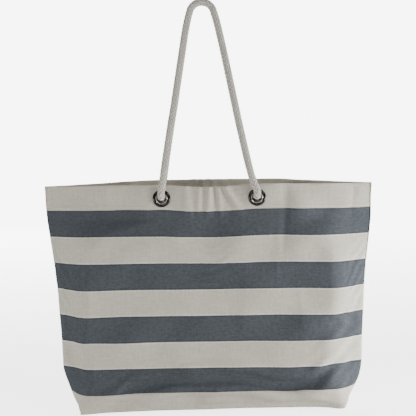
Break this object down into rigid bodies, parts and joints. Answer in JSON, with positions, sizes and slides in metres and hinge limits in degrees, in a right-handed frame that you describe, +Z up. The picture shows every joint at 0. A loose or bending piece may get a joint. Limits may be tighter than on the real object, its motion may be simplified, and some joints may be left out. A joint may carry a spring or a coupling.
{
  "type": "beach bag",
  "caption": "Open-topped striped canvas tote with a boxed base, metal eyelets and rope loop handles that swing outwards.",
  "frame": {"origin": "middle of the base, on the surface the bag stands on", "axes": "+Z up towards the handles, -Y towards the front panel, +X to the right as seen from the front"},
  "size_m": [0.554, 0.115, 0.6968],
  "materials": {
    "canvas": "plain-weave cotton canvas in even cream and slate-grey stripes, matte",
    "tape": "woven cotton binding tape, matte",
    "eyelet": "polished dark nickel plate",
    "rope": "braided cotton rope, matte and slightly fuzzy"
  },
  "bodies": {
    "bag": {"front_panel": "canvas", "back_panel": "canvas", "front_hem_facing": "canvas", "back_hem_facing": "canvas", "left_side_seam_tape": "tape", "right_side_seam_tape": "tape", "bottom_seam_tape": "tape", "left_corner_seam_tape": "tape", "right_corner_seam_tape": "tape", "front_left_eyelet": "eyelet", "front_right_eyelet": "eyelet", "back_left_eyelet": "eyelet", "back_right_eyelet": "eyelet", "front_left_washer": "eyelet", "front_right_washer": "eyelet", "back_left_washer": "eyelet", "back_right_washer": "eyelet", "front_left_knot": "rope", "front_right_knot": "rope", "back_left_knot": "rope", "back_right_knot": "rope"},
    "front_handle": {"front_rope": "rope"},
    "back_handle": {"back_rope": "rope"}
  },
  "joints": [
    {"name": "front_handle_swing", "type": "hinge", "parent": "bag", "child": "front_handle", "pos_m": [0, -0.0446, 0.3689], "axis": [1, 0, 0], "range_deg": [0, 180]},
    {"name": "back_handle_swing", "type": "hinge", "parent": "bag", "child": "back_handle", "pos_m": [0, 0.0446, 0.3689], "axis": [-1, 0, 0], "range_deg": [0, 180]}
  ]
}
